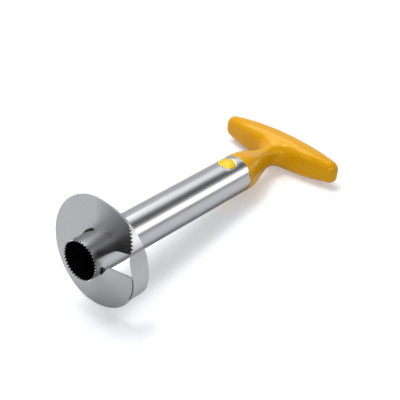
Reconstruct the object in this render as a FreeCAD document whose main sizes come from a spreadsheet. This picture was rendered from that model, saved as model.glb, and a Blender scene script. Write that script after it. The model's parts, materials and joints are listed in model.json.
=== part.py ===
import FreeCAD, Part
import Sketcher
import math
import os

# Pineapple corer: a toothed steel tube with a helical slicing blade welded round its tip,
# and a T-shaped plastic handle that a pair of sprung buttons locks into the tube.
# Tool frame of every piece: Z runs up the tube from its tip, Y points at the upper button
# and X runs along the grip. The whole tool then lies down on its blade and its grip.

Vector = FreeCAD.Vector
Placement = FreeCAD.Placement
Rotation = FreeCAD.Rotation

doc = FreeCAD.newDocument("pineapple_corer")
sheet = doc.addObject("Spreadsheet::Sheet", "Sizes")

# Driving sizes: millimetres, degrees and counts.
SIZES = {
    # The tube, its toothed tip and the two holes for the buttons.
    "tube_diameter": 31,
    "tube_wall": 0.8,
    "tube_length": 174,
    "tip_tooth_count": 38,
    "tip_tooth_depth": 1.6,
    "tip_tooth_land": 0.25,
    "hole_diameter": 14.2,
    "hole_from_end": 13.4,
    # The blade: heights above the tip along its rim and its root, from edge to edge.
    "blade_diameter": 85,
    "blade_thickness": 0.8,
    "blade_lead_angle": 175,
    "blade_sweep": 349.5,
    "rim_lead_height": 8.9,
    "rim_dip_height": 13.0,
    "rim_quarter_height": 15.2,
    "rim_half_height": 18.4,
    "rim_late_height": 19.4,
    "rim_trail_height": 24.0,
    "root_lead_height": 7.0,
    "root_dip_height": 7.4,
    "root_quarter_height": 12.4,
    "root_half_height": 17.6,
    "root_late_height": 20.4,
    "root_trail_height": 24.0,
    # Where the blade stands off the tube: a relief cut at its leading edge and a slot.
    "relief_width": 5.7,
    "relief_end_width": 1.2,
    "relief_bend_angle": 32,
    "relief_angle": 37,
    "slot_start_angle": 203,
    "slot_end_angle": 250,
    "slot_width": 1.4,
    # The upright wall on the rim, which cuts the slices free from the shell.
    "wall_lead_overlap": 32.5,
    "wall_trail_overlap": 35.5,
    "wall_crest_height": 27.3,
    "wall_corner_radius": 3,
    "wall_nose_angle": 12,
    "wall_nose_height": 8.25,
    "wall_chin_angle": 21,
    "wall_chin_height": 10.3,
    "wall_tooth_start_angle": 23.5,
    "wall_tooth_start_height": 11.9,
    "wall_tooth_end_height": 20.3,
    "wall_tooth_count": 11,
    "wall_tooth_depth": 1.1,
    # The handle: grip, neck and the plug inside the tube.
    "grip_length": 113,
    "grip_height": 26.6,
    "grip_end_height": 18.4,
    "grip_depth": 21.4,
    "grip_end_depth": 11.6,
    "grip_corner_radius": 8.6,
    "grip_end_corner_radius": 5.4,
    "grip_end_round": 5.2,
    "grip_end_reach": 7,
    "grip_sweep_back": 1.2,
    "grip_from_tube": 60,
    "waist_width": 14.4,
    "waist_height": 17.4,
    "neck_fillet_radius": 10,
    "neck_sink": 4.5,
    "neck_crest_drop": 1.2,
    "flare_width": 40,
    "plug_depth": 25.6,
    "plug_clearance": 0.1,
    "plug_wall": 1.1,
    # The buttons, their guide in the plug and the spring between them.
    "button_clearance": 0.25,
    "button_proud": 0.4,
    "button_ramp_depth": 2.6,
    "button_ramp_length": 8.5,
    "flange_lip": 1.2,
    "flange_thickness": 2.2,
    "flange_gap": 0.15,
    "guide_clearance": 0.3,
    "boss_height": 2.2,
    "boss_clearance": 0.35,
    "spring_wire": 0.9,
    "spring_diameter": 10,
    "spring_turns": 3.5,
    "spring_gap": 0.1,
}

FULL_TURN = 360

for row, (alias, value) in enumerate(SIZES.items(), start=1):
    sheet.set("A%d" % row, alias)
    sheet.set("B%d" % row, str(value))
    sheet.setAlias("B%d" % row, alias)
doc.recompute()


def size(alias):
    """A driving size, read back from the sheet."""
    return float(sheet.get(alias))


def origin_feature(body, role):
    """One of a body's own origin planes or axes."""
    return next(feature for feature in body.Origin.OriginFeatures if feature.Role == role)


def sketch_on(body, name, role, lift=None):
    """A sketch on an origin plane of the body, lifted along the plane's normal."""
    sketch = body.newObject("Sketcher::SketchObject", name)
    sketch.AttachmentSupport = [(origin_feature(body, role), "")]
    sketch.MapMode = "FlatFace"
    if lift:
        sketch.setExpression("AttachmentOffset.Base.z", lift)
    doc.recompute()
    return sketch


def bind(sketch, kind, *geometry, value):
    """A dimension of the sketch whose value follows an expression on the sheet."""
    number = sketch.evalExpression(value)
    index = sketch.addConstraint(Sketcher.Constraint(kind, *geometry, float(number)))
    sketch.setExpression("Constraints[%d]" % index, value)


def circle(sketch, diameter, height=None):
    """A circle round the origin, or at a height on the sketch's vertical axis."""
    radius = sketch.evalExpression(diameter) / 2
    middle = sketch.evalExpression(height) if height else 0
    ring = sketch.addGeometry(Part.Circle(Vector(0, middle, 0), Vector(0, 0, 1), radius))
    bind(sketch, "Diameter", ring, value=diameter)
    if height:
        sketch.addConstraint(Sketcher.Constraint("PointOnObject", ring, 3, -2))
        bind(sketch, "DistanceY", -1, 1, ring, 3, value=height)
    else:
        sketch.addConstraint(Sketcher.Constraint("Coincident", ring, 3, -1, 1))


def ellipse(sketch, width, height):
    """An upright ellipse round the origin."""
    across = Vector(sketch.evalExpression(width) / 2, 0, 0)
    upwards = Vector(0, sketch.evalExpression(height) / 2, 0)
    if across.x > upwards.y:
        ring = sketch.addGeometry(Part.Ellipse(across, upwards, Vector(0, 0, 0)))
        long_way, long_size, short_size = "Horizontal", width, height
    else:
        ring = sketch.addGeometry(Part.Ellipse(upwards, across * -1, Vector(0, 0, 0)))
        long_way, long_size, short_size = "Vertical", height, width
    sketch.exposeInternalGeometry(ring)
    major, minor = ring + 1, ring + 2
    sketch.addConstraint(Sketcher.Constraint("Coincident", ring, 3, -1, 1))
    sketch.addConstraint(Sketcher.Constraint(long_way, major))
    bind(sketch, "Distance", major, value=long_size)
    bind(sketch, "Distance", minor, value=short_size)


def polygon(sketch, corners):
    """A closed outline of straight lines through corners given as pairs of expressions."""
    points = [Vector(sketch.evalExpression(x), sketch.evalExpression(y), 0) for x, y in corners]
    lines = []
    for start, end in zip(points, points[1:] + points[:1]):
        lines.append(sketch.addGeometry(Part.LineSegment(start, end)))
    for line, after in zip(lines, lines[1:] + lines[:1]):
        sketch.addConstraint(Sketcher.Constraint("Coincident", line, 2, after, 1))
    for line, (x, y) in zip(lines, corners):
        bind(sketch, "DistanceX", -1, 1, line, 1, value=x)
        bind(sketch, "DistanceY", -1, 1, line, 1, value=y)


def rounded_rectangle(sketch, width, height, corner, middle):
    """A rounded rectangle, upright about the point (0, middle)."""
    wide = sketch.evalExpression(width) / 2
    high = sketch.evalExpression(height) / 2
    turn = sketch.evalExpression(corner)
    centre = sketch.evalExpression(middle)
    arcs = []
    for quarter, (side, end) in enumerate([(1, 1), (-1, 1), (-1, -1), (1, -1)]):
        heart = Vector(side * (wide - turn), centre + end * (high - turn), 0)
        ring = Part.Circle(heart, Vector(0, 0, 1), turn)
        start = quarter * math.pi / 2
        arcs.append(sketch.addGeometry(Part.ArcOfCircle(ring, start, start + math.pi / 2)))
    lines = []
    for arc, after in zip(arcs, arcs[1:] + arcs[:1]):
        start = sketch.getPoint(arc, 2)
        end = sketch.getPoint(after, 1)
        lines.append(sketch.addGeometry(Part.LineSegment(start, end)))
        sketch.addConstraint(Sketcher.Constraint("Tangent", arc, 2, lines[-1], 1))
        sketch.addConstraint(Sketcher.Constraint("Tangent", lines[-1], 2, after, 1))
    for arc in arcs[1:]:
        sketch.addConstraint(Sketcher.Constraint("Equal", arcs[0], arc))
    sketch.addConstraint(Sketcher.Constraint("Horizontal", lines[0]))
    sketch.addConstraint(Sketcher.Constraint("Vertical", lines[1]))
    bind(sketch, "Radius", arcs[0], value=corner)
    bind(sketch, "DistanceX", -1, 1, lines[3], 1, value="(%s) / 2" % width)
    bind(sketch, "DistanceX", lines[1], 1, -1, 1, value="(%s) / 2" % width)
    bind(sketch, "DistanceY", -1, 1, lines[0], 1, value="(%s) + (%s) / 2" % (middle, height))
    bind(sketch, "DistanceY", -1, 1, lines[2], 1, value="(%s) - (%s) / 2" % (middle, height))


def pad(body, name, sketch, length, symmetric=False, backwards=False):
    """A pad of the sketch along its normal."""
    feature = body.newObject("PartDesign::Pad", name)
    feature.Profile = sketch
    feature.setExpression("Length", length)
    feature.SideType = "Symmetric" if symmetric else "One side"
    feature.Reversed = backwards
    doc.recompute()
    return feature


def pocket(body, name, sketch, length, symmetric=False, backwards=False):
    """A cut of the sketch along its normal, which has to take something away."""
    before = body.Shape.Volume
    feature = body.newObject("PartDesign::Pocket", name)
    feature.Profile = sketch
    feature.setExpression("Length", length)
    feature.SideType = "Symmetric" if symmetric else "One side"
    feature.Reversed = backwards
    doc.recompute()
    if body.Shape.Volume > before - 1e-6:
        raise ValueError(name + " cuts nothing")
    return feature


def loft(body, name, sketches):
    """A smooth solid through the sketches."""
    feature = body.newObject("PartDesign::AdditiveLoft", name)
    feature.Profile = sketches[0]
    feature.Sections = sketches[1:]
    doc.recompute()
    return feature


def new_body(label):
    """An empty body that names its own node."""
    body = doc.addObject("PartDesign::Body", label)
    body.Label = label
    doc.recompute()
    return body


def corer_tube():
    """The steel tube: a thin wall, a ring of teeth at its tip and two round button holes."""
    body = new_body("corer_tube")
    section = sketch_on(body, "tube_section", "XY_Plane")
    circle(section, "Sizes.tube_diameter")
    circle(section, "Sizes.tube_diameter - 2 * Sizes.tube_wall")
    pad(body, "tube_pad", section, "Sizes.tube_length")

    holes = sketch_on(body, "hole_circle", "XZ_Plane")
    circle(holes, "Sizes.hole_diameter", "Sizes.tube_length - Sizes.hole_from_end")
    pocket(body, "button_holes", holes, "2 * Sizes.tube_diameter", symmetric=True)

    pitch = "pi * Sizes.tube_diameter / Sizes.tip_tooth_count"
    half = "(%s - Sizes.tip_tooth_land) / 2" % pitch
    gullet = sketch_on(body, "gullet_section", "YZ_Plane")
    polygon(gullet, [
        ("-(%s)" % half, "-Sizes.tip_tooth_depth"),
        (half, "-Sizes.tip_tooth_depth"),
        (half, "0"),
        ("0", "Sizes.tip_tooth_depth"),
        ("-(%s)" % half, "0"),
    ])
    cut = pocket(body, "gullet", gullet, "Sizes.tube_diameter")
    ring = body.newObject("PartDesign::PolarPattern", "gullets")
    ring.Originals = [cut]
    ring.Axis = (origin_feature(body, "Z_Axis"), [""])
    ring.Angle = FULL_TURN
    ring.setExpression("Occurrences", "Sizes.tip_tooth_count")
    body.Tip = ring
    doc.recompute()
    return body


def height_curve(stations):
    """A smooth curve of height against angle through (angle, height) stations."""
    curve = Part.BSplineCurve()
    points = [Vector(angle, height, 0) for angle, height in stations]
    curve.interpolate(Points=points, Parameters=[angle for angle, height in stations])
    return lambda angle: curve.value(angle).y


def blade_heights():
    """The heights of the blade's rim and root against the angle from its leading edge."""
    sweep = size("blade_sweep")
    shares = {"lead": 0, "dip": 0.1, "quarter": 0.3, "half": 0.55, "late": 0.76, "trail": 1}
    rim = [(share * sweep, size("rim_%s_height" % name)) for name, share in shares.items()]
    root = [(share * sweep, size("root_%s_height" % name)) for name, share in shares.items()]
    return height_curve(rim), height_curve(root)


def at(angle, radius, height):
    """A point of the blade at an angle from its leading edge."""
    turn = math.radians(size("blade_lead_angle") + angle)
    return Vector(radius * math.cos(turn), radius * math.sin(turn), height)


def spline(points):
    """A smooth edge through the points."""
    curve = Part.BSplineCurve()
    curve.interpolate(Points=points)
    return curve.toShape()


def helical_sheet(rim_height, root_height):
    """The sheet between root and rim, before it is trimmed to the tube and the rim circle."""
    steps = 48
    margin = 1.5
    tube_radius = size("tube_diameter") / 2
    rim_radius = size("blade_diameter") / 2
    slope_span = rim_radius - tube_radius
    inner = []
    outer = []
    for step in range(steps + 1):
        angle = size("blade_sweep") * step / steps
        rise = (rim_height(angle) - root_height(angle)) * margin / slope_span
        inner.append(at(angle, tube_radius - margin, root_height(angle) - rise))
        outer.append(at(angle, rim_radius + margin, rim_height(angle) + rise))
    face = Part.makeRuledSurface(spline(inner), spline(outer))
    return face.extrude(Vector(0, 0, size("blade_thickness")))


def ring_between(inner_radius, outer_radius, height):
    """A plain ring round the tool's axis, from the tip up."""
    outer = Part.makeCylinder(outer_radius, height)
    return outer.cut(Part.makeCylinder(inner_radius, height))


def relief_cuts():
    """The prisms that part the sheet from the tube at its leading edge and along its slot."""
    tube_radius = size("tube_diameter") / 2
    height = 2 * size("wall_crest_height")
    corners = [
        Vector(0, 0, 0),
        at(0, tube_radius + size("relief_width"), 0),
        at(size("relief_bend_angle"), tube_radius + size("relief_end_width"), 0),
        at(size("relief_angle"), tube_radius, 0),
    ]
    relief = Part.Face(Part.makePolygon(corners + corners[:1])).extrude(Vector(0, 0, height))
    swing = size("slot_end_angle") - size("slot_start_angle")
    slot = Part.makeCylinder(
        tube_radius + size("slot_width"), height, Vector(0, 0, 0), Vector(0, 0, 1), swing
    )
    slot.rotate(Vector(0, 0, 0), Vector(0, 0, 1), size("blade_lead_angle") + size("slot_start_angle"))
    return relief.fuse(slot)


def wall_outline(rim_height):
    """The wall's outline as seen along the radius through its middle."""
    rim_radius = size("blade_diameter") / 2
    thickness = size("blade_thickness")
    sweep = size("blade_sweep")
    gap = FULL_TURN - sweep
    start = size("wall_lead_overlap")
    end = -gap - size("wall_trail_overlap")
    middle = (start + end) / 2

    def seen(angle, height):
        return Vector(rim_radius * math.sin(math.radians(angle - middle)), height, 0)

    def along_rim(first, last, offset):
        """Points on the rim between two angles, counted from the leading edge."""
        count = 6
        turn = sweep + gap if first < 0 else 0
        angles = [first + (last - first) * step / count for step in range(count + 1)]
        return [seen(angle, rim_height(angle + turn) + offset) for angle in angles]

    corner = math.degrees(size("wall_corner_radius") / rim_radius)
    crest = size("wall_crest_height")
    seat = thickness / 2
    lower = along_rim(start, 0, seat)
    throat_height = (lower[-1].y + 3 * size("wall_nose_height")) / 4
    nose = [
        lower[-1],
        seen(-size("wall_nose_angle") / 2, throat_height),
        seen(-size("wall_nose_angle"), size("wall_nose_height")),
        seen(-size("wall_chin_angle"), size("wall_chin_height")),
        seen(-size("wall_tooth_start_angle"), size("wall_tooth_start_height")),
    ]
    first_tooth = nose[-1]
    last_tooth = seen(end, size("wall_tooth_end_height"))
    count = int(size("wall_tooth_count"))
    step = (last_tooth - first_tooth) / count
    inwards = Vector(-step.y, step.x, 0).normalize() * size("wall_tooth_depth")
    if inwards.y < 0:
        inwards = -inwards
    teeth = []
    for tooth in range(count):
        teeth.append(first_tooth + step * tooth)
        teeth.append(first_tooth + step * (tooth + 0.5) + inwards)
    teeth.append(last_tooth)
    upper = along_rim(end, -gap, seat)
    crest_start = seen(start - corner, crest)
    crest_end = seen(start, crest - size("wall_corner_radius"))
    diagonal = size("wall_corner_radius") * (1 - math.sqrt(0.5))
    bend = seen(start, crest) + Vector(-diagonal, -diagonal, 0)
    rise = [upper[-1], seen((start - gap) / 2, (crest + upper[-1].y) / 2), crest_start]
    edges = [
        spline(lower),
        spline(nose),
        Part.makePolygon(teeth),
        Part.makeLine(last_tooth, upper[0]),
        spline(upper),
        spline(rise),
        Part.Arc(crest_start, bend, crest_end).toShape(),
        Part.makeLine(crest_end, lower[0]),
    ]
    return edges, middle


def rim_wall(rim_height):
    """The curved wall: its outline cut out of a thin ring at the rim."""
    margin = 1
    rim_radius = size("blade_diameter") / 2
    edges, middle = wall_outline(rim_height)
    loose = []
    for edge in edges:
        loose += edge.Edges
    face = Part.Face(Part.Wire(Part.__sortEdges__(loose)))
    turn = size("blade_lead_angle") + middle
    across = Vector(-math.sin(math.radians(turn)), math.cos(math.radians(turn)), 0)
    outwards = Vector(math.cos(math.radians(turn)), math.sin(math.radians(turn)), 0)
    face.Placement = Placement(Vector(0, 0, 0), Rotation(across, Vector(0, 0, 1), outwards * -1, "XYZ"))
    block = face.extrude(outwards * (rim_radius + margin))
    ring = ring_between(rim_radius - size("blade_thickness"), rim_radius, 2 * size("wall_crest_height"))
    return ring.common(block)


def slicing_blade():
    """The blade: one turn of helical sheet with an upright toothed wall across its gap."""
    rim_height, root_height = blade_heights()
    trim = ring_between(size("tube_diameter") / 2, size("blade_diameter") / 2, 2 * size("wall_crest_height"))
    turn = helical_sheet(rim_height, root_height).common(trim).cut(relief_cuts())
    blade = doc.addObject("Part::Feature", "slicing_blade")
    blade.Label = "slicing_blade"
    blade.Shape = turn.fuse(rim_wall(rim_height)).removeSplitter().Solids[0]
    return blade


FLANGE_WIDTH = "(Sizes.hole_diameter + 2 * Sizes.flange_lip)"
GUIDE_HALF_WIDTH = "(%s / 2 + Sizes.guide_clearance)" % FLANGE_WIDTH
PLUG_RADIUS = "(Sizes.tube_diameter / 2 - Sizes.tube_wall - Sizes.plug_clearance)"
# The guide goes as deep as the plug's own wall lets it.
GUIDE_HALF_DEPTH = "sqrt((%s - Sizes.plug_wall) ^ 2 - %s ^ 2)" % (PLUG_RADIUS, GUIDE_HALF_WIDTH)
FLANGE_INNER = "(%s - Sizes.flange_gap - Sizes.flange_thickness)" % GUIDE_HALF_DEPTH


def handle():
    """The moulded handle: a tapered grip, a flared neck and a hollow plug for the buttons."""
    body = new_body("handle")
    grip_sections(body)
    neck_sections(body)

    rim = sketch_on(body, "plug_circle", "XY_Plane", "Sizes.tube_length - Sizes.plug_depth")
    circle(rim, "2 * %s" % PLUG_RADIUS)
    pad(body, "plug", rim, "Sizes.plug_depth + Sizes.plug_wall")

    guide = sketch_on(body, "guide_section", "XY_Plane", "Sizes.tube_length - Sizes.plug_depth")
    polygon(guide, [
        ("-%s" % GUIDE_HALF_WIDTH, "-%s" % GUIDE_HALF_DEPTH),
        (GUIDE_HALF_WIDTH, "-%s" % GUIDE_HALF_DEPTH),
        (GUIDE_HALF_WIDTH, GUIDE_HALF_DEPTH),
        ("-%s" % GUIDE_HALF_WIDTH, GUIDE_HALF_DEPTH),
    ])
    top = "Sizes.plug_depth - Sizes.hole_from_end + %s" % GUIDE_HALF_WIDTH
    pocket(body, "button_guide", guide, top, backwards=True)

    bore = sketch_on(body, "bore_circle", "XZ_Plane")
    circle(bore, "Sizes.hole_diameter", "Sizes.tube_length - Sizes.hole_from_end")
    pocket(body, "button_bores", bore, "Sizes.tube_diameter", symmetric=True)
    return body


def grip_sections(body):
    """The grip, a loft along X through rounded rectangles that shrink towards both ends."""
    straight = "(Sizes.grip_length / 2 - Sizes.grip_end_reach)"
    stations = []
    for share in (0, 0.4, 0.75, 1):
        stations.append((share, "%s * %s" % (straight, share), "0"))
    for swing in (35, 60, 80):
        forward = "%s + Sizes.grip_end_reach * sin(%d)" % (straight, swing)
        inset = "Sizes.grip_end_round * (1 - cos(%d))" % swing
        stations.append((1, forward, inset))
    mirrored = [(share, "-(%s)" % lift, inset) for share, lift, inset in reversed(stations[1:])]
    sections = []
    for share, lift, inset in mirrored + stations:
        sketch = sketch_on(body, "grip_section", "YZ_Plane", lift)
        corner = tapered("grip_corner_radius", "grip_end_corner_radius", share)
        rounded_rectangle(
            sketch,
            width="%s - 2 * %s" % (tapered("grip_height", "grip_end_height", share), inset),
            height="%s - 2 * %s" % (tapered("grip_depth", "grip_end_depth", share), inset),
            corner="%s - 0.99 * %s" % (corner, inset),
            middle="Sizes.tube_length + Sizes.grip_from_tube + Sizes.grip_sweep_back * %s ^ 2" % share,
        )
        sections.append(sketch)
    loft(body, "grip", sections)


def tapered(middle_alias, end_alias, share):
    """A size of the grip at a share of the way from its middle to its end."""
    change = "(Sizes.%s - Sizes.%s)" % (end_alias, middle_alias)
    return "(Sizes.%s + %s * %s ^ 2)" % (middle_alias, change, share)


def neck_sections(body):
    """The neck: it narrows from the tube to a waist and flares out with a fillet into the grip."""
    front = "(Sizes.grip_from_tube - Sizes.grip_depth / 2)"
    waist = "(%s - Sizes.neck_fillet_radius)" % front
    rim = sketch_on(body, "neck_circle", "XY_Plane", "Sizes.tube_length")
    circle(rim, "Sizes.tube_diameter")
    stations = []
    for share in (0.2, 0.4, 0.6, 0.8, 1):
        swell = "(1 + cos(180 * %s ^ 1.1)) / 2" % share
        width = "Sizes.waist_width + (Sizes.tube_diameter - Sizes.waist_width) * %s" % swell
        height = "Sizes.waist_height + (Sizes.tube_diameter - Sizes.waist_height) * %s" % swell
        stations.append(("%s * %s" % (waist, share), width, height))
    # The neck runs on into the grip, where it stays just below the grip's own surface.
    depth = "Sizes.neck_sink"
    rise = "(Sizes.grip_height - 2 * Sizes.neck_crest_drop - Sizes.waist_height)"
    for swing in (30, 60, 85):
        forward = "Sizes.neck_fillet_radius * sin(%d)" % swing
        share = "%s / (Sizes.neck_fillet_radius + %s)" % (forward, depth)
        width = "Sizes.waist_width + 2 * Sizes.neck_fillet_radius * (1 - cos(%d))" % swing
        height = "Sizes.waist_height + %s * (%s) ^ 2" % (rise, share)
        stations.append(("%s + %s" % (waist, forward), width, height))
    stations.append(("%s + %s" % (front, depth), "Sizes.flare_width", "Sizes.waist_height + %s" % rise))
    sections = [rim]
    for lift, width, height in stations:
        sketch = sketch_on(body, "neck_oval", "XY_Plane", "Sizes.tube_length + %s" % lift)
        ellipse(sketch, width, height)
        sections.append(sketch)
    loft(body, "neck", sections)


def button(label):
    """A release button: Z points out of the tube and Y points at the tube's tip."""
    body = new_body(label)
    flange = sketch_on(body, "flange_section", "XY_Plane", FLANGE_INNER)
    half = "%s / 2" % FLANGE_WIDTH
    polygon(flange, [
        ("-%s" % half, "-%s" % half),
        (half, "-%s" % half),
        (half, half),
        ("-%s" % half, half),
    ])
    pad(body, "flange", flange, "Sizes.flange_thickness")

    stem = sketch_on(body, "stem_circle", "XY_Plane", FLANGE_INNER)
    circle(stem, "Sizes.hole_diameter - 2 * Sizes.button_clearance")
    pad(body, "stem", stem, "Sizes.tube_diameter / 2 + Sizes.button_proud - %s" % FLANGE_INNER)

    boss = sketch_on(body, "boss_circle", "XY_Plane", FLANGE_INNER)
    circle(boss, "Sizes.spring_diameter - 2 * Sizes.spring_wire - 2 * Sizes.boss_clearance")
    pad(body, "spring_boss", boss, "Sizes.boss_height", backwards=True)

    crown(body)
    ramp = sketch_on(body, "ramp_section", "YZ_Plane")
    side = "(Sizes.hole_diameter / 2 - Sizes.button_clearance)"
    top = "(Sizes.tube_diameter / 2 + Sizes.button_proud)"
    polygon(ramp, [
        ("%s - Sizes.button_ramp_length" % side, top),
        (side, "%s - Sizes.button_ramp_depth" % top),
        ("%s + Sizes.tube_wall" % side, "%s - Sizes.button_ramp_depth" % top),
        ("%s + Sizes.tube_wall" % side, "%s + Sizes.tube_wall" % top),
        ("%s - Sizes.button_ramp_length" % side, "%s + Sizes.tube_wall" % top),
    ])
    pocket(body, "ramp", ramp, "Sizes.hole_diameter", symmetric=True)
    return body


def crown(body):
    """The button's top, rounded like the tube that it stands in."""
    sketch = sketch_on(body, "crown_section", "XZ_Plane")
    radius = "Sizes.tube_diameter / 2 + Sizes.button_proud"
    width = FLANGE_WIDTH
    top = "%s + Sizes.tube_wall" % radius
    reach = sketch.evalExpression(radius)
    half = sketch.evalExpression(width) / 2
    swing = math.asin(half / reach)
    ring = Part.Circle(Vector(0, 0, 0), Vector(0, 0, 1), reach)
    arc = sketch.addGeometry(Part.ArcOfCircle(ring, math.pi / 2 - swing, math.pi / 2 + swing))
    left = Vector(-half, sketch.evalExpression(top), 0)
    right = Vector(half, sketch.evalExpression(top), 0)
    rise = sketch.addGeometry(Part.LineSegment(sketch.getPoint(arc, 2), left))
    roof = sketch.addGeometry(Part.LineSegment(left, right))
    fall = sketch.addGeometry(Part.LineSegment(right, sketch.getPoint(arc, 1)))
    sketch.addConstraint(Sketcher.Constraint("Coincident", arc, 2, rise, 1))
    sketch.addConstraint(Sketcher.Constraint("Coincident", rise, 2, roof, 1))
    sketch.addConstraint(Sketcher.Constraint("Coincident", roof, 2, fall, 1))
    sketch.addConstraint(Sketcher.Constraint("Coincident", fall, 2, arc, 1))
    sketch.addConstraint(Sketcher.Constraint("Coincident", arc, 3, -1, 1))
    sketch.addConstraint(Sketcher.Constraint("Vertical", rise))
    sketch.addConstraint(Sketcher.Constraint("Vertical", fall))
    sketch.addConstraint(Sketcher.Constraint("Horizontal", roof))
    sketch.addConstraint(Sketcher.Constraint("Symmetric", arc, 1, arc, 2, -2))
    bind(sketch, "Radius", arc, value=radius)
    bind(sketch, "DistanceY", -1, 1, roof, 1, value=top)
    bind(sketch, "DistanceX", roof, 1, roof, 2, value=width)
    pocket(body, "crown", sketch, "2 * Sizes.hole_diameter", symmetric=True)


def button_spring():
    """The spring between the buttons: half turns of round wire, tilted so that they join up."""
    half_turns = round(2 * size("spring_turns"))
    coil_radius = (size("spring_diameter") - size("spring_wire")) / 2
    flange_inner = float(sheet.evalExpression(FLANGE_INNER))
    length = 2 * (flange_inner - size("spring_gap")) - size("spring_wire")
    rise = length / half_turns
    tilt = math.degrees(math.atan2(rise / 2, coil_radius))
    pieces = []
    for turn in range(half_turns):
        side = 1 if turn % 2 == 0 else -1
        arc = doc.addObject("Part::Torus", "spring_half_turn")
        arc.Radius1 = math.hypot(coil_radius, rise / 2)
        arc.setExpression("Radius2", "Sizes.spring_wire / 2")
        arc.Angle3 = 180
        lean = Rotation(Vector(0, 1, 0), side * tilt)
        start = Rotation(Vector(0, 0, 1), 0 if side == 1 else 180)
        arc.Placement = Placement(Vector(0, 0, (turn + 0.5) * rise - length / 2), lean * start)
        pieces.append(arc)
    spring = doc.addObject("Part::MultiFuse", "button_spring")
    spring.Label = "button_spring"
    spring.Shapes = pieces
    doc.recompute()
    return spring


def lying_down(blade_rim_height):
    """The turn that lays the tool down on its blade's rim and on its grip."""
    contact_angle = 270 - size("blade_lead_angle")
    rim_contact = blade_rim_height(contact_angle) + size("blade_thickness")
    corner = size("grip_corner_radius")
    drop = (size("blade_diameter") - size("grip_height")) / 2 + corner
    grip_back = size("tube_length") + size("grip_from_tube") + size("grip_depth") / 2
    run = grip_back - corner - rim_contact
    slope = math.acos(corner / math.hypot(drop, run)) - math.atan2(run, drop)
    along = Vector(math.cos(slope), 0, -math.sin(slope))
    upwards = Vector(math.sin(slope), 0, math.cos(slope))
    return Placement(Vector(0, 0, 0), Rotation(Vector(0, 1, 0), upwards, along, "XYZ"))


rim_height, root_height = blade_heights()
tilt = lying_down(rim_height)
hole_centre = Vector(0, 0, size("tube_length") - size("hole_from_end"))
upper_turn = Rotation(Vector(1, 0, 0), Vector(0, 0, -1), Vector(0, 1, 0), "XYZ")
lower_turn = Rotation(Vector(-1, 0, 0), Vector(0, 0, -1), Vector(0, -1, 0), "XYZ")

# Each node with its own place in the tool frame.
NODES = [
    (corer_tube(), Placement()),
    (slicing_blade(), Placement()),
    (handle(), Placement()),
    (button("upper_button"), Placement(hole_centre, upper_turn)),
    (button("lower_button"), Placement(hole_centre, lower_turn)),
    (button_spring(), Placement(hole_centre, Rotation(Vector(1, 0, 0), -90))),
]

for node, place in NODES:
    node.Placement = tilt * place
doc.recompute()

# The floor and the middle of the tool's length become the origin of the part.
whole = FreeCAD.BoundBox()
for node, place in NODES:
    whole.add(node.Shape.optimalBoundingBox(False))
shift = Placement(Vector(-whole.Center.x, -whole.Center.y, -whole.ZMin), Rotation())
for node, place in NODES:
    node.Placement = shift * tilt * place
doc.recompute()

for item in doc.Objects:
    if "Invalid" in item.State or "Error" in item.State:
        raise ValueError(item.Name + " failed")
for node, place in NODES:
    if node.Shape.isNull() or not node.Shape.isValid():
        raise ValueError(node.Label + " is not a valid solid")

os.makedirs("parts", exist_ok=True)
for node, place in NODES:
    node.Shape.exportStep("parts/%s.step" % node.Label)
    box = node.Shape.optimalBoundingBox(False)
    print(node.Label, len(node.Shape.Solids), round(node.Shape.Volume, 1), box)
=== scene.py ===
import json
import math

import bmesh
import bpy
import numpy as np
from mathutils import Matrix, Vector
from mathutils.bvhtree import BVHTree


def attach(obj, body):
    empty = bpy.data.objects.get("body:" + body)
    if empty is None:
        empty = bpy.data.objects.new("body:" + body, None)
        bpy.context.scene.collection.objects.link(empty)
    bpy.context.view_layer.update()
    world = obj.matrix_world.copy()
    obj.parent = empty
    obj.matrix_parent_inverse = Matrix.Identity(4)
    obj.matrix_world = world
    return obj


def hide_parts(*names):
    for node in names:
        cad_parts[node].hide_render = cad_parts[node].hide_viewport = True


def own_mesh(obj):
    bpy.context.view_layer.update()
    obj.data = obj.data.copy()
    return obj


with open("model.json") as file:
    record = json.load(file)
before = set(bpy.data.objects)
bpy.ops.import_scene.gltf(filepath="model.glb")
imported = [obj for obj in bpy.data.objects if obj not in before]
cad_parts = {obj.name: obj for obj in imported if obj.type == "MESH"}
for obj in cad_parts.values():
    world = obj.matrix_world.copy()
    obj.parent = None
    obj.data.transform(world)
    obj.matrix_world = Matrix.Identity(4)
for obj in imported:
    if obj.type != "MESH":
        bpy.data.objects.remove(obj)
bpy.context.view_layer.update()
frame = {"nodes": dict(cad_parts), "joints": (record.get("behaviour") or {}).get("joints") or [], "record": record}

MM = 0.001


def corner_places(mesh):
    """A mesh's corners as an array with a row for each."""
    places = np.zeros(len(mesh.vertices) * 3)
    mesh.vertices.foreach_get("co", places)
    return places.reshape(-1, 3)


def reach(node, axis):
    """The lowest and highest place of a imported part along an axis."""
    places = corner_places(frame["nodes"][node].data) @ np.array(axis)
    return places.min(), places.max()


def middle(node, axis):
    """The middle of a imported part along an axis."""
    return sum(reach(node, axis)) / 2


def half_length(node, axis):
    """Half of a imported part's length along an axis, in millimetres."""
    low, high = reach(node, axis)
    return (high - low) / 2 / MM


# The tool's own axes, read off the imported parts: ALONG runs from the tip to the handle,
# UP points out through the upper button, and SIDE runs along the grip.
JOINTS = {joint["name"]: joint for joint in frame["joints"]}
UP = -Vector(JOINTS["upper_button_press"]["axis"]).normalized()
SIDE = Vector((0, 1, 0))
ALONG = SIDE.cross(UP).normalized()

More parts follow.
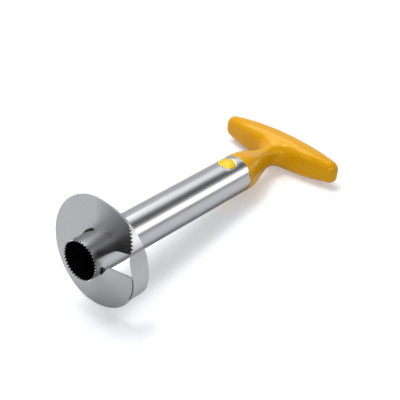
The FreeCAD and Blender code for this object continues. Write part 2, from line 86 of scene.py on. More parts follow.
# TOOL takes a point in millimetres along side, up and along, counted from the middle of the
# tube's tip, to the frame's metres.
TIP = (
    SIDE * middle("corer_tube", SIDE) + UP * middle("corer_tube", UP)
    + ALONG * reach("corer_tube", ALONG)[0]
)
TOOL = (
    Matrix.Translation(TIP) @ Matrix((SIDE, UP, ALONG)).transposed().to_4x4()
    @ Matrix.Scale(MM, 4)
)

# How far each button goes in, by its joint, in millimetres.
PRESS = {
    joint["name"]: joint["range_m"][1] / MM for joint in frame["record"]["behaviour"]["joints"]
}

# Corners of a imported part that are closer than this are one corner.
SAME_CORNER = 0.0005 * MM
# Where the faces of a finished piece meet at more than this, the edge looks sharp.
SHARP_ANGLE = math.radians(40)

# The tube, in millimetres. TUBE_ROUND rounds its edges, HOLE_PLACE is how far the holes of the
# buttons are from the tip, and TIP_LAND is the width that a tooth keeps at its point.
TUBE_RADIUS = half_length("corer_tube", SIDE)
TUBE_LENGTH = 2 * half_length("corer_tube", ALONG)
TUBE_WALL = 0.8
TUBE_ROUND = 0.3
HOLE_RADIUS = 7.1
HOLE_PLACE = TUBE_LENGTH - 13.4
TIP_TEETH = 38
TIP_TOOTH = 1.6
TIP_LAND = 0.25

# The net of quads that the tube is made of: its columns round the tube, its plain rows along
# it, and how many columns the patch round a hole reaches to either side.
TUBE_COLUMNS = 96
TUBE_ROWS = (TIP_TOOTH, TIP_TOOTH + 1, 20, 40, 60, 80, 100, 120, 140)
LAST_ROW = TUBE_LENGTH - 2
PATCH_REACH = 9

# The spring's wire, by its radius, and its turns.
SPRING_WIRE = 0.45
SPRING_TURNS = 3.5

# The blade's leading edge, as an angle in degrees round the tube from side to up. Other angles
# on the blade are counted from that edge.
BLADE_LEAD = 175
BLADE_ROUND = 0.16
SHEET = 0.8
RIM_RADIUS = 42.5

# The toothed edge of the rim's wall: the wall's middle as an angle, and the edge's two ends as
# an angle and a height. The teeth stand in the wall up to their roots, WALL_ROOT deep.
WALL_MIDDLE = -6.75
WALL_TEETH_START = (-23.5, 11.9)
WALL_TEETH_END = (-46, 20.3)
WALL_TEETH = 7
WALL_TOOTH = 1.7
WALL_LAND = 0.2
WALL_ROOT = 1.1

# Dark beads on the blade, put there as painted shade: they fill the gaps between sheet and tube
# with their shade, and draw the shadow at the fold of the wall as a thin line. Each runs from one
# angle to another at a distance from the tube's axis, and lies a little above the sheet's height,
# which is read at sheet_at.
SHADE_BEADS = {
    "lead_gap_shade": {
        "start": 9, "end": 41, "steps": 24, "radius": 16.5, "sheet_at": TUBE_RADIUS + 6,
        "above": 0.2, "thickness": 0.95, "lumps": 0.12,
    },
    "upper_gap_shade": {
        "start": 202, "end": 252, "steps": 24, "radius": 16.1, "sheet_at": TUBE_RADIUS + 6,
        "above": 0.2, "thickness": 0.8, "lumps": 0.12,
    },
    "fold_shade_line": {
        "start": 1, "end": 33, "steps": 30, "radius": 41.95, "sheet_at": 40.45,
        "above": 0.05, "thickness": 0.3, "lumps": 0,
    },
}
BEAD_SIDES = 10

# The handle's skin and its plug overlap, both cut off inside the tube. The skin is held as it
# is for SKIN_HELD past the tube's end, and is free to move after SKIN_FADE more.
SKIN_START = 3
PLUG_END = 2.5
SKIN_VOXEL = 0.7
SKIN_HELD = 0.8
SKIN_FADE = 1.5
PLUG_SHARP_ANGLE = math.radians(50)

# The seams between neck and grip, which lie past NECK_END behind the tube, are worn away, and
# so are the edges of the grip's ends. What that takes off the skin and off the grip's length,
# from GRIP_MIDDLE outwards, is given back.
NECK_END = 35
SEAM_ANGLE = math.radians(18)
SEAM_REACH = 4.5
GRIP_END_REACH = 9
WORN_SKIN = 0.4
GRIP_MIDDLE = 35
ABOVE_FLOOR = 0.02

BUTTON_ROUND = 0.4

# Where the tube's colour changes: below its skin it is painted nearly black as the shade inside
# its hollow, and its teeth are ground to a little behind their roots. TUBE_BORDER is how sharply
# it changes, per millimetre.
SHADED_BELOW = 0.3
GROUND_BEHIND = 0.2
GROUND_SHARE = 0.4
TUBE_BORDER = 6

# Painted shade and dark reflection on the blade's disc, darkest near the wall: it starts and
# ends at degrees before the leading edge, and reaches out to the disc's rim. The borders are
# how sharply it ends, per degree and per millimetre.
SHADE_START = 95.0
SHADE_FADE = 60.0
SHADE_END = 6.0
SHADE_END_BORDER = 0.3
DISC_RADIUS = 41.2
DISC_BORDER = 4

# The rim's wall is creased where its toothed end begins, at degrees before the leading edge,
# and shade is painted along the crease.
CREASE = 22.8
CREASE_SPREAD = 1.4
CREASE_FULL = 1.6
CREASE_SHADE = 0.6

# The photograph's view, in the tool's millimetres.
CAMERA_PLACE = (-434.85, 453.07, -445.83)
CAMERA_AIM = (-41.16, 37.19, 76.35)
CAMERA_ROLL = math.radians(-0.228)
CAMERA_LENS = 99.45

# Square lights, in metres and watts: place, the point they look at, size and power.
SOFTBOXES = {
    "key_softbox": ((0.22, 0.44, 1.0), (0, 0, 0), 0.95, 12),
    "small_lamp": ((-0.05, 0.25, 1.0), (0.1, 0, 0), 0.16, 1.1),
    "fill_softbox": ((-0.8, -0.65, 0.55), (0.05, 0, 0), 0.5, 3),
}

# The floor, in metres. It glows a little near the tool and is plain white far from it.
FLOOR_HALF = 4
FLOOR_COLOUR = (0.805, 0.82, 0.85)
FLOOR_GLOW = 0.3
FLOOR_FAR = 0.45
FLOOR_FADE = 1.2

# Strip lights that run along the tube, as the steel mirrors them: the angle round the tube from
# side to up, the strip's half width and soft edge, and how much brighter it is than the walls.
STRIPS = {
    "back_strip": (63, 11, 14, 0.55),
    "dark_ceiling": (107, 6, 22, -0.62),
    "front_strip": (147, 9, 10, 1.6),
    "dark_gap": (171, 2, 9, -0.3),
}
# The brightness of the walls that the steel mirrors, and of the light on matt surfaces.
STUDIO_WALLS = 0.8
AMBIENT = 0.27


class Value:
    """A socket of a shader tree that can stand in a Python expression."""

    def __init__(self, tree, socket):
        self.tree = tree
        self.socket = socket

    def combined(self, operation, *terms):
        """What a Math node makes of values and numbers."""
        node = self.tree.nodes.new("ShaderNodeMath")
        node.operation = operation
        for place, term in enumerate(terms):
            if isinstance(term, Value):
                self.tree.links.new(term.socket, node.inputs[place])
            else:
                node.inputs[place].default_value = term
        return Value(self.tree, node.outputs[0])

    def maths(self, operation, *others):
        """What a Math node makes of this value and any others after it."""
        return self.combined(operation, self, *others)

    def clamped(self):
        """This value, kept between 0 and 1."""
        return self.maths("MAXIMUM", 0.0).maths("MINIMUM", 1.0)

    def __add__(self, other):
        return self.maths("ADD", other)

    def __sub__(self, other):
        return self.maths("SUBTRACT", other)

    def __mul__(self, other):
        return self.maths("MULTIPLY", other)

    def __truediv__(self, other):
        return self.maths("DIVIDE", other)

    def __rsub__(self, other):
        return self.combined("SUBTRACT", other, self)

    __radd__ = __add__
    __rmul__ = __mul__


class Shader:
    """A shader tree that is built node by node."""

    def __init__(self, tree):
        self.tree = tree

    def node(self, kind, settings=None, **inputs):
        """A node with its settings made first, then its inputs."""
        node = self.tree.nodes.new("ShaderNode" + kind)
        for name, value in (settings or {}).items():
            setattr(node, name, value)
        self.feed_all(node, inputs)
        return node

    def out(self, node, name):
        return Value(self.tree, node.outputs[name])

    def feed(self, socket, value):
        """Links a value to an input, or sets the input to a plain number, colour or vector."""
        if isinstance(value, Value):
            self.tree.links.new(value.socket, socket)
        elif socket.type == "RGBA":
            socket.default_value = (*value, 1)
        else:
            socket.default_value = value

    def feed_all(self, node, inputs):
        """Feeds inputs by their names, with underscores for spaces."""
        for name, value in inputs.items():
            self.feed(node.inputs[name.replace("_", " ")], value)

    def sides(self, vector):
        """The three parts of a vector."""
        apart = self.node("SeparateXYZ", Vector=vector)
        return [self.out(apart, axis) for axis in "XYZ"]


class Finish(Shader):
    """A material whose look is worked out by nodes around one surface shader."""

    def __init__(self, name):
        self.material = bpy.data.materials.new(name)
        self.material.use_nodes = True
        super().__init__(self.material.node_tree)

    def surface(self, **inputs):
        self.feed_all(self.tree.nodes["Principled BSDF"], inputs)

    def tool_place(self):
        """The place on the tool, in metres along side, up and along."""
        mapping = self.node(
            "Mapping", {"vector_type": "TEXTURE"},
            Vector=self.out(self.node("TexCoord"), "Object"),
            Location=TOOL.translation, Rotation=TOOL.to_euler(),
        )
        return self.out(mapping, "Vector")

    def noise(self, place, scale, detail):
        return self.out(self.node("TexNoise", Vector=place, Scale=scale, Detail=detail), "Fac")

    def wandering(self, usual, spread, noise):
        """A number that noise moves up and down from its usual size."""
        return (usual - spread) + 2 * spread * noise

    def relief(self, height, strength):
        """A faint unevenness of the surface."""
        bump = self.node("Bump", Height=height, Distance=0.01 * MM, Strength=strength)
        return self.out(bump, "Normal")

    def mixed(self, factor, first, second):
        """Blends two colours by a factor that varies over the surface."""
        mix = self.node("Mix", {"data_type": "RGBA"})
        # The inputs and the output for colours come after those for numbers and vectors.
        for place, value in ((0, factor), (6, first), (7, second)):
            self.feed(mix.inputs[place], value)
        return Value(self.tree, mix.outputs[2])


def tinted(colour, share):
    """A colour with each of its parts times a share."""
    return tuple(part * share for part in colour)


def tube_shade_and_grinding(finish, place):
    """A share from 0 to 1: one on the tube's inside, painted dark as shade, less on its ground teeth."""
    side, up, along = finish.sides(place)
    depth = TUBE_RADIUS - (side * side + up * up).maths("SQRT") * (1 / MM)
    from_tip = along * (1 / MM)
    inside = ((depth - SHADED_BELOW) * TUBE_BORDER).clamped()
    ground = ((TIP_TOOTH + GROUND_BEHIND - from_tip) * TUBE_BORDER).clamped() * GROUND_SHARE
    return inside.maths("MAXIMUM", ground)


def painted_shade_sector(finish, place):
    """A share from 0 to 1: painted shade on the disc towards the toothed wall and on the wall's crease."""
    side, up, _ = finish.sides(place)
    lead = math.radians(BLADE_LEAD)
    # The place is turned so that the leading edge lies on the seam of the angle.
    forward = side * math.cos(lead) + up * math.sin(lead)
    across = up * math.cos(lead) - side * math.sin(lead)
    before_lead = (0.0 - across).maths("ARCTAN2", forward) * math.degrees(1)
    distance = (side * side + up * up).maths("SQRT") * (1 / MM)
    in_disc = ((DISC_RADIUS - distance) * DISC_BORDER).clamped()
    # The disc's painted shade grows towards the wall, and the crease's painted shade lies on the wall.
    growing = ((SHADE_START - before_lead) / SHADE_FADE).clamped()
    near = growing * ((before_lead - SHADE_END) * SHADE_END_BORDER).clamped()
    off_crease = (before_lead - CREASE).maths("ABSOLUTE")
    crease_shade = CREASE_SHADE * (CREASE_FULL - off_crease / CREASE_SPREAD).clamped()
    return near * in_disc + crease_shade * (1 - in_disc)


def brushed_steel(name, colour=(0.53, 0.535, 0.545), roughness=0.2, shade_and_grinding=None, left=1.0):
    """Satin stainless steel; where a mask paints shade or marks ground teeth, a share of its colour is left and it
    is rougher.
    """
    finish = Finish(name)
    place = finish.tool_place()
    grain = finish.noise(place, scale=900.0, detail=3.0)
    cloud = finish.noise(place, scale=40.0, detail=2.0)
    shade = finish.mixed(grain, colour, tinted(colour, 0.93))
    rough = finish.wandering(roughness, 0.05, cloud)
    if shade_and_grinding:
        share = shade_and_grinding(finish, place)
        shade = finish.mixed(share, shade, tinted(colour, left))
        rough = rough + 0.25 * share
    finish.surface(
        Base_Color=shade,
        Metallic=1.0,
        Specular_Tint=tinted(colour, 1.3),
        Roughness=rough,
        Normal=finish.relief(grain, strength=0.25),
    )
    return finish.material


def moulded_plastic(name, colour, roughness=0.17):
    """Satin moulded plastic with a faint ripple."""
    finish = Finish(name)
    place = finish.tool_place()
    ripple = finish.noise(place, scale=60.0, detail=2.0)
    pores = finish.noise(place, scale=2500.0, detail=2.0)
    finish.surface(
        Base_Color=finish.mixed(ripple, colour, tinted(colour, 0.95)),
        Roughness=finish.wandering(roughness, 0.04, ripple),
        Normal=finish.relief(pores, strength=0.2),
        Specular_IOR_Level=0.32,
        Specular_Tint=(1, 0.8, 0.3),
    )
    return finish.material


def add_object(name, data):
    """A new object in the scene, at the origin."""
    thing = bpy.data.objects.new(name, data)
    bpy.context.scene.collection.objects.link(thing)
    return thing


def only_material(mesh, material):
    """Makes a material the mesh's only one."""
    mesh.materials.clear()
    mesh.materials.append(material)


def new_piece(name, mesh, material):
    """An object for a mesh, smooth and with its material."""
    piece = add_object(name, mesh)
    only_material(mesh, material)
    mesh.shade_smooth()
    return piece


def bake(piece):
    """Applies the piece's modifiers and takes them off."""
    bpy.context.view_layer.update()
    depsgraph = bpy.context.evaluated_depsgraph_get()
    mesh = bpy.data.meshes.new_from_object(
        piece.evaluated_get(depsgraph), preserve_all_data_layers=True, depsgraph=depsgraph
    )
    piece.modifiers.clear()
    piece.data = mesh


def take_off(piece):
    """Removes a helper object and gives back its mesh."""
    mesh = piece.data
    bpy.data.objects.remove(piece)
    return mesh


def mesh_from(name, shape):
    """A mesh with what was built in a bmesh, which is freed."""
    mesh = bpy.data.meshes.new(name)
    shape.to_mesh(mesh)
    shape.free()
    return mesh


def join_meshes(name, meshes):
    """One mesh out of several, in the order given."""
    whole = bmesh.new()
    for mesh in meshes:
        whole.from_mesh(mesh)
    return mesh_from(name, whole)


def edge_line(name, points):
    """An object that holds a line of edges from point to point."""
    mesh = bpy.data.meshes.new(name)
    edges = [(place, place + 1) for place in range(len(points) - 1)]
    mesh.from_pydata(points, edges, [])
    return add_object(name, mesh)


def round_axis(radius, angle, along=0):
    """A point at a distance and an angle in radians round the tool's axis, in millimetres."""
    return Vector((radius * math.cos(angle), radius * math.sin(angle), along))


def on_blade(radius, angle, along=0):
    """A point at a distance from the tool's axis and an angle in degrees from the blade's lead."""
    return round_axis(radius, math.radians(BLADE_LEAD + angle), along)


def joined_copy(node):
    """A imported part's copy with its corners joined, ready to be worked on."""
    copy = bmesh.new()
    copy.from_mesh(frame["nodes"][node].data)
    bmesh.ops.remove_doubles(copy, verts=copy.verts, dist=SAME_CORNER)
    bmesh.ops.dissolve_degenerate(copy, edges=copy.edges, dist=SAME_CORNER)
    return copy


def edges_sharper(shape, limit):
    """The edges between two faces that meet at more than an angle."""
    return [
        edge for edge in shape.edges if len(edge.link_faces) == 2 and edge.calc_face_angle() > limit
    ]


def rounded_copy(node, material, radius, steps=2, sharper_than=35, reshape=None, extra=None):
    """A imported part's copy with rounded edges, and with an extra mesh joined to it."""
    copy = joined_copy(node)
    if reshape:
        reshape(copy)
    bmesh.ops.bevel(
        copy, geom=edges_sharper(copy, math.radians(sharper_than)), offset=radius * MM,
        segments=steps, profile=0.5, affect="EDGES", clamp_overlap=True,
    )
    if extra:
        copy.from_mesh(extra)
    piece = new_piece(node + "_finish", mesh_from(node + "_finish", copy), material)
    piece.data.set_sharp_from_angle(angle=SHARP_ANGLE)
    weighted = piece.modifiers.new("weighted", "WEIGHTED_NORMAL")
    weighted.mode = "FACE_AREA_WITH_ANGLE"
    weighted.weight = 80
    weighted.keep_sharp = True
    bake(piece)
    return piece


class Tree:
    """A geometry tree with named inputs, built node by node."""

    def __init__(self, name, **inputs):
        self.group = bpy.data.node_groups.new(name, "GeometryNodeTree")
        self.sockets = {}
        for label, kind in inputs.items():
            socket = self.group.interface.new_socket(
                label, in_out="INPUT", socket_type="NodeSocket" + kind
            )
            self.sockets[label] = socket.identifier
        self.group.interface.new_socket(
            "Geometry", in_out="OUTPUT", socket_type="NodeSocketGeometry"
        )
        self.given = self.group.nodes.new("NodeGroupInput")
        self.result = self.group.nodes.new("NodeGroupOutput")

    def __getitem__(self, label):
        return self.given.outputs[label]

    def node(self, kind, settings=None, inputs=None):
        """The outputs of a new node; its inputs are given by name or by place."""
        node = self.group.nodes.new(kind)
        for label, value in (settings or {}).items():
            setattr(node, label, value)
        for label, value in (inputs or {}).items():
            if isinstance(value, bpy.types.NodeSocket):
                self.group.links.new(value, node.inputs[label])
            else:
                node.inputs[label].default_value = value
        return node.outputs

    def made(self, kind, settings=None, inputs=None):
        """The first output of a new node."""
        return self.node(kind, settings, inputs)[0]

    def vector(self, **parts):
        return self.made("ShaderNodeCombineXYZ", inputs=parts)

    def maths(self, operation, first, second):
        return self.made("ShaderNodeMath", {"operation": operation}, {0: first, 1: second})

    def finish(self, geometry):
        """Gives the geometry its material and sends it out."""
        dressed = self.made(
            "GeometryNodeSetMaterial", inputs={"Geometry": geometry, "Material": self["Material"]}
        )
        self.group.links.new(dressed, self.result.inputs[0])

    def apply(self, piece, **values):
        """Runs the tree on a piece with its named inputs set, and bakes the result."""
        modifier = piece.modifiers.new(self.group.name, "NODES")
        modifier.node_group = self.group
        for label, value in values.items():
            modifier[self.sockets[label]] = value
        bake(piece)


def toothed_edge_tree():
    """One tapered tooth, set out along an edge's line."""
    tree = Tree(
        "toothed_edge", Edge="Geometry", Count="Int", Width="Float", Height="Float",
        Thickness="Float", Land="Float", Material="Material",
    )
    size = tree.vector(X=tree["Width"], Y=tree["Thickness"], Z=tree["Height"])
    block = tree.made("GeometryNodeMeshCube", inputs={"Size": size})

    # The block's top is drawn in to the land, and the tooth then stands on its foot.
    place = tree.made("GeometryNodeInputPosition")
    apart = tree.node("ShaderNodeSeparateXYZ", inputs={"Vector": place})
    top = tree.made(
        "FunctionNodeCompare", {"operation": "GREATER_THAN"}, {0: apart["Z"], 1: 0.0}
    )
    share = tree.maths("DIVIDE", tree["Land"], tree["Width"])
    point = tree.vector(X=tree.maths("MULTIPLY", apart["X"], share), Y=apart["Y"], Z=apart["Z"])
    tooth = tree.made(
        "GeometryNodeSetPosition",
        inputs={"Geometry": block, "Selection": top, "Position": point},
    )
    lift = tree.vector(Z=tree.maths("MULTIPLY", tree["Height"], 0.5))
    seated = tree.made("GeometryNodeTransform", inputs={"Geometry": tooth, "Translation": lift})

    # Each tooth's width lies along the line and its thickness faces away from the tool's axis.
    line = tree.made("GeometryNodeMeshToCurve", inputs={0: tree["Edge"]})
    spots = tree.made(
        "GeometryNodeResampleCurve", inputs={"Curve": line, "Count": tree["Count"]}
    )
    tangent = tree.made("GeometryNodeInputTangent")
    outward = tree.made("ShaderNodeVectorMath", {"operation": "MULTIPLY"}, {0: place, 1: (1, 1, 0)})
    across = tree.made("FunctionNodeAlignRotationToVector", {"axis": "X"}, {"Vector": tangent})
    turned = tree.made(
        "FunctionNodeAlignRotationToVector", {"axis": "Y", "pivot_axis": "X"},
        {"Rotation": across, "Vector": outward},
    )
    teeth = tree.made(
        "GeometryNodeInstanceOnPoints",
        inputs={"Points": spots, "Instance": seated, "Rotation": turned},
    )
    real = tree.made("GeometryNodeRealizeInstances", inputs={0: teeth})
    flat = tree.made(
        "GeometryNodeSetShadeSmooth", inputs={"Geometry": real, "Shade Smooth": False}
    )
    tree.finish(flat)
    return tree


def ground_teeth(name, points, material, **sizes):
    """Teeth ground along an edge, one at each of its points, in the frame's metres."""
    line = edge_line(name, points)
    toothed_edge_tree().apply(line, Count=len(points), Material=material, **sizes)
    teeth = take_off(line)
    teeth.transform(TOOL)
    return teeth


def spring_tree():
    """A coil of round wire. Its first input, the piece's own geometry, isn't used."""
    tree = Tree(
        "coil_spring", Base="Geometry", Turns="Float", Radius="Float", Length="Float",
        Wire="Float", Material="Material",
    )
    coil = tree.made(
        "GeometryNodeCurveSpiral",
        inputs={
            "Resolution": 40, "Rotations": tree["Turns"], "Start Radius": tree["Radius"],
            "End Radius": tree["Radius"], "Height": tree["Length"],
        },
    )
    section = tree.made(
        "GeometryNodeCurvePrimitiveCircle", inputs={"Resolution": 14, "Radius": tree["Wire"]}
    )
    wire = tree.made(
        "GeometryNodeCurveToMesh",
        inputs={"Curve": coil, "Profile Curve": section, "Fill Caps": True},
    )
    tree.finish(wire)
    return tree


class TubeNet:
    """The tube's wall as a net of quads, with a round-edged hole on top and below.

    Round each hole a square patch of the net is left open, and rings of quads lead from its
    border through the hole to the border of the patch inside the tube.
    """

    def __init__(self):
        self.net = bmesh.new()
        self.turn = 2 * math.pi / TUBE_COLUMNS
        self.patch_size = 2 * PATCH_REACH
        half_patch = TUBE_RADIUS * math.sin(PATCH_REACH * self.turn)
        self.patch_rows = [
            HOLE_PLACE + half_patch * (2 * row / self.patch_size - 1)
            for row in range(self.patch_size + 1)
        ]
        self.rows = [*TUBE_ROWS, *self.patch_rows, LAST_ROW, TUBE_LENGTH - TUBE_ROUND]
        patch_middles = (TUBE_COLUMNS // 4, 3 * TUBE_COLUMNS // 4)
        self.patch_columns = {
            column for middle_column in patch_middles
            for column in range(middle_column - PATCH_REACH, middle_column + PATCH_REACH)
        }
        self.outer = self.skin(0)
        self.inner = self.skin(TUBE_WALL)
        for middle_column in patch_middles:
            self.hole(middle_column)
        self.back_edge()
        self.band(self.outer[0], self.inner[0])
        bmesh.ops.recalc_face_normals(self.net, faces=self.net.faces)

    def corner(self, angle, place, depth):
        return self.net.verts.new(TOOL @ round_axis(TUBE_RADIUS - depth, angle, place))

    def ring(self, place, depth):
        """Corners all round the tube, at a depth below its skin."""
        return [self.corner(column * self.turn, place, depth) for column in range(TUBE_COLUMNS)]

    def band(self, first, second, left_open=()):
        """Quads all round between two rings."""
        for place in range(len(first)):
            after = (place + 1) % len(first)
            if place not in left_open:
                self.net.faces.new([first[place], first[after], second[after], second[place]])

    def skin(self, depth):
        """The net at a depth below the tube's skin, open where the patches are."""
        grid = [self.ring(place, depth) for place in self.rows]
        for row in range(len(self.rows) - 1):
            in_patch = len(TUBE_ROWS) <= row < len(TUBE_ROWS) + self.patch_size
            first, second = (row + 1, row) if depth else (row, row + 1)
            self.band(grid[first], grid[second], self.patch_columns if in_patch else ())
        return grid

    def hole_corner(self, centre_angle, swing, radius, depth):
        """A corner on a circle round the hole's own axis, at a depth below the tube's skin."""
        across = radius * math.cos(swing)
        angle = centre_angle - math.asin(across / (TUBE_RADIUS - depth))
        return self.corner(angle, HOLE_PLACE + radius * math.sin(swing), depth)

    def hole(self, middle_column):
        """The rings of quads from a patch's border outside, through its hole, to that inside."""
        steps = range(self.patch_size)
        left, right = middle_column - PATCH_REACH, middle_column + PATCH_REACH
        walk = [(left, row) for row in steps]
        walk += [(left + column, self.patch_size) for column in steps]
        walk += [(right, self.patch_size - row) for row in steps]
        walk += [(right - column, 0) for column in steps]

        centre_angle = middle_column * self.turn
        swings = []
        for column, row in walk:
            across = TUBE_RADIUS * math.sin(centre_angle - column * self.turn)
            swings.append(math.atan2(self.patch_rows[row] - HOLE_PLACE, across))

        bend = TUBE_ROUND * (1 - math.sqrt(0.5))
        rings = [[self.outer[len(TUBE_ROWS) + row][column] for column, row in walk]]
        for radius, depth in (
            (HOLE_RADIUS + TUBE_ROUND, 0),
            (HOLE_RADIUS + bend, bend),
            (HOLE_RADIUS, TUBE_ROUND),
            (HOLE_RADIUS, TUBE_WALL - TUBE_ROUND),
            (HOLE_RADIUS + bend, TUBE_WALL - bend),
            (HOLE_RADIUS + TUBE_ROUND, TUBE_WALL),
        ):
            rings.append([
                self.hole_corner(centre_angle, swing, radius, depth) for swing in swings
            ])
        rings.append([self.inner[len(TUBE_ROWS) + row][column] for column, row in walk])
        for ring, following in zip(rings, rings[1:]):
            self.band(ring, following)

    def back_edge(self):
        """The rounded end of the tube at the handle."""
        bend = TUBE_ROUND * math.sqrt(0.5)
        rings = [self.outer[-1]]
        for depth, place in (
            (TUBE_ROUND - bend, TUBE_LENGTH - TUBE_ROUND + bend),
            (TUBE_ROUND, TUBE_LENGTH),
            (TUBE_WALL, TUBE_LENGTH),
        ):
            rings.append(self.ring(place, depth))
        rings.append(self.inner[-1])
        for ring, following in zip(rings, rings[1:]):
            self.band(following, ring)


def make_tube(material):
    """The tube with its ring of ground teeth at the tip."""
    radius = TUBE_RADIUS - TUBE_WALL / 2
    points = [
        round_axis(radius, 2 * math.pi * place / TIP_TEETH, TIP_TOOTH) for place in range(TIP_TEETH)
    ]
    teeth = ground_teeth(
        "tip_line", points, material, Width=2 * math.pi * radius / TIP_TEETH, Height=TIP_TOOTH,
        Thickness=TUBE_WALL, Land=TIP_LAND,
    )
    tube = mesh_from("corer_tube_wall", TubeNet().net)
    mesh = join_meshes("corer_tube_finish", [tube, teeth])
    piece = new_piece("corer_tube_finish", mesh, material)
    mesh.set_sharp_from_angle(angle=SHARP_ANGLE)
    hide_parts("corer_tube")
    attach(piece, "tool")


def make_spring(material):
    """The spring, a coil in two halves on the tool's body."""
    half = half_length("button_spring", UP)
    radius = half_length("button_spring", SIDE) - SPRING_WIRE
    upright = Matrix.Rotation(math.radians(-90), 4, "X")
    middle_place = Matrix.Translation((0, 0, HOLE_PLACE))
    tree = spring_tree()
    for half_name, joint, start, turns_before in (
        ("upper", "upper_button_press", 0, 0),
        ("lower", "lower_button_press", SPRING_WIRE - half, -SPRING_TURNS / 2),
    ):
        coil = edge_line("button_spring_" + half_name, [(0, 0, 0)])
        tree.apply(
            coil, Turns=SPRING_TURNS / 2, Radius=radius, Length=half - SPRING_WIRE,
            Wire=SPRING_WIRE, Material=material,
        )
        mesh = take_off(coil)
        turned = Matrix.Rotation(2 * math.pi * turns_before, 4, "Z")
        place = Matrix.Translation((0, 0, start)) @ turned
        mesh.transform(TOOL @ middle_place @ upright @ place)
        piece = new_piece("button_spring_" + half_name, mesh, material)
        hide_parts("button_spring")
        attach(piece, "tool")
        1 - PRESS[joint] / half
        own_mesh(piece)


def set_places(mesh, places):
    """Moves a mesh's corners to the places in an array."""
    mesh.vertices.foreach_set("co", places.ravel())
    mesh.update()


def smooth(mesh, weights, rounds):
    """Evens out the mesh's corners towards their neighbours, by each corner's own weight."""
    count = len(mesh.vertices)
    places = corner_places(mesh)
    pairs = np.zeros(len(mesh.edges) * 2, dtype=np.int64)
    mesh.edges.foreach_get("vertices", pairs)
    starts, ends = pairs.reshape(-1, 2).T
    both, other = np.concatenate([starts, ends]), np.concatenate([ends, starts])
    neighbours = np.maximum(np.bincount(both, minlength=count), 1)
    share = (0.5 * weights)[:, None]
    for _ in range(rounds):
        sums = np.stack([
            np.bincount(both, weights=places[other, axis], minlength=count) for axis in range(3)
        ], axis=1)
        places = places + share * (sums / neighbours[:, None] - places)
    set_places(mesh, places)


def swell(mesh, weights, grip_end):
    """Gives back the thin skin and the length of the grip that the smoothing wore off."""
    places = corner_places(mesh)
    normals = np.zeros(len(mesh.vertices) * 3)
    mesh.vertex_normals.foreach_get("vector", normals)
    places = places + normals.reshape(-1, 3) * (weights * WORN_SKIN * MM)[:, None]
    side = places @ np.array(SIDE)
    away = np.clip(np.abs(side) - GRIP_MIDDLE * MM, 0, None)
    longer = away * (grip_end - np.abs(side).max()) / away.max()
    places += (np.sign(side) * longer)[:, None] * np.array(SIDE)
    places[:, 2] = np.clip(places[:, 2], ABOVE_FLOOR * MM, None)
    set_places(mesh, places)


def seam_points(shape):
    """The middles of the seams between neck and grip on a copy of the handle."""
    inverse = TOOL.inverted()
    centres = [
        (edge.verts[0].co + edge.verts[1].co) / 2 for edge in edges_sharper(shape, SEAM_ANGLE)
    ]
    return [centre for centre in centres if (inverse @ centre).z > TUBE_LENGTH + NECK_END]


def cut_across(shape, place, **cleared):
    """Cuts a shape across the tool and clears one side of the cut."""
    bmesh.ops.bisect_plane(
        shape, geom=shape.verts[:] + shape.edges[:] + shape.faces[:],
        plane_co=place, plane_no=ALONG, **cleared,
    )


def handle_skin(material):
    """The handle's outside as one smooth skin, with the seams of neck and grip worn away."""
    shoulder = TOOL @ Vector((0, 0, TUBE_LENGTH))
    outside = joined_copy("handle")
    seams = seam_points(outside)
    cut_across(outside, shoulder - ALONG * SKIN_START * MM, clear_inner=True)
    border = [edge for edge in outside.edges if edge.is_boundary]
    bmesh.ops.holes_fill(outside, edges=border, sides=0)

    skin = new_piece("handle_skin", mesh_from("handle_skin", outside), material)
    remesh = skin.modifiers.new("remesh", "REMESH")
    remesh.mode = "VOXEL"
    remesh.voxel_size = SKIN_VOXEL * MM
    bake(skin)
    mesh = take_off(skin)

    places = corner_places(mesh)
    along = (places - np.array(shoulder)) @ np.array(ALONG) / MM
    free = np.clip((along - SKIN_HELD) / SKIN_FADE, 0, 1)
    smooth(mesh, free, rounds=14)

    near = np.full(len(places), np.inf)
    for seam in seams:
        near = np.minimum(near, np.linalg.norm(places - np.array(seam), axis=1))
    smooth(mesh, free * np.exp(-((near / (SEAM_REACH * MM)) ** 2)), rounds=90)

    grip_end = reach("handle", SIDE)[1]
    from_end = grip_end - np.abs(places @ np.array(SIDE))
    smooth(mesh, free * np.clip(1.3 - from_end / (GRIP_END_REACH * MM), 0, 1), rounds=30)
    swell(mesh, free, grip_end)
    return mesh


def handle_plug():
    """The handle's plug inside the tube, as it was packed."""
    shoulder = TOOL @ Vector((0, 0, TUBE_LENGTH))
    plug = joined_copy("handle")
    cut_across(plug, shoulder - ALONG * PLUG_END * MM, clear_outer=True)
    return mesh_from("handle_plug", plug)


def make_handle(material):
    """The handle: a smooth skin outside the tube and a plain plug inside it."""
    mesh = join_meshes("handle_finish", [handle_skin(material), handle_plug()])
    piece = new_piece("handle_finish", mesh, material)
    mesh.set_sharp_from_angle(angle=PLUG_SHARP_ANGLE)
    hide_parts("handle")
    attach(piece, "tool")


class ToothedEdge:
    """The straight line of the wall's teeth, on the flat picture of the curved wall."""

    def __init__(self):
        self.outwards = on_blade(1, WALL_MIDDLE)
        self.across = on_blade(1, WALL_MIDDLE + 90)
        self.start = self.seen(*WALL_TEETH_START)
        line = self.seen(*WALL_TEETH_END) - self.start
        self.length = line.length
        self.line = line.normalized()
        self.inwards = Vector((self.line.y, -self.line.x))

    def seen(self, angle, height):
        """A place on the flat picture for an angle and a height on the wall."""
        return Vector((RIM_RADIUS * math.sin(math.radians(angle - WALL_MIDDLE)), height))

    def measured(self, point):
        """How far a point is along the edge and how far inside it."""
        offset = Vector((point.dot(self.across), point.z)) - self.start
        return offset.dot(self.line), offset.dot(self.inwards)

    def placed(self, travel, depth, radius):
        """The point of the curved wall at a place along the edge and a depth inside it."""
        flat = self.start + self.line * travel + self.inwards * depth
        outward = math.sqrt(radius**2 - flat.x**2)
        return self.across * flat.x + self.outwards * outward + Vector((0, 0, flat.y))


